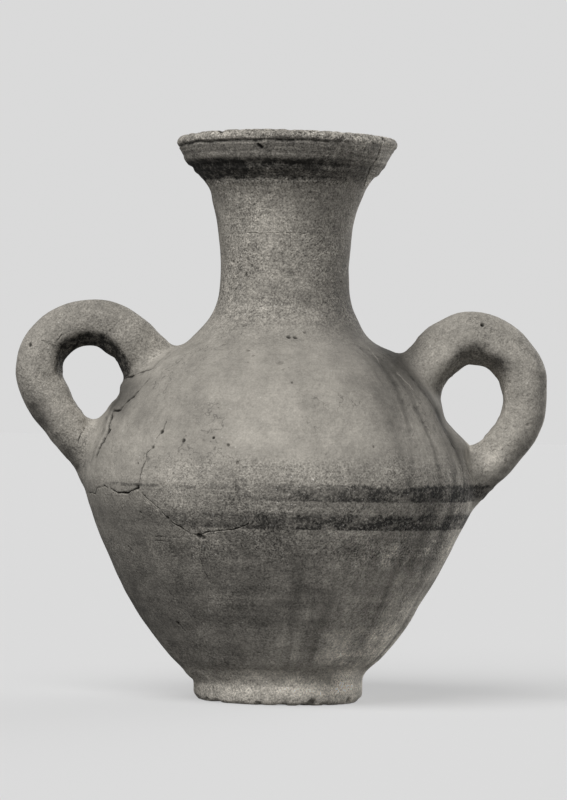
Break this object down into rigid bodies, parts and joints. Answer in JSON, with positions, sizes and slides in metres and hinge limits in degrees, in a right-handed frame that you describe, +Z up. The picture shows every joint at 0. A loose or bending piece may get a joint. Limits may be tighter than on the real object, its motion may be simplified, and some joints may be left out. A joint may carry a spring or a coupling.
{
  "type": "vase",
  "caption": "Round-bodied fired clay jar with a narrow neck, flared rim, disc foot and loop handles, hollow and open at the top.",
  "frame": {"origin": "middle of the flat underside of the foot, on the axis of the wheel", "axes": "+Z up along the axis of the wheel, +X towards the lower handle, -X towards the larger handle, +Y away from the side that the picture shows"},
  "size_m": [0.1439, 0.1056, 0.1521],
  "materials": {
    "clay": "matt fired clay, worn and mottled, with two worn dark painted bands round the belly"
  },
  "bodies": {
    "root": {"vase": "clay"}
  },
  "joints": []
}
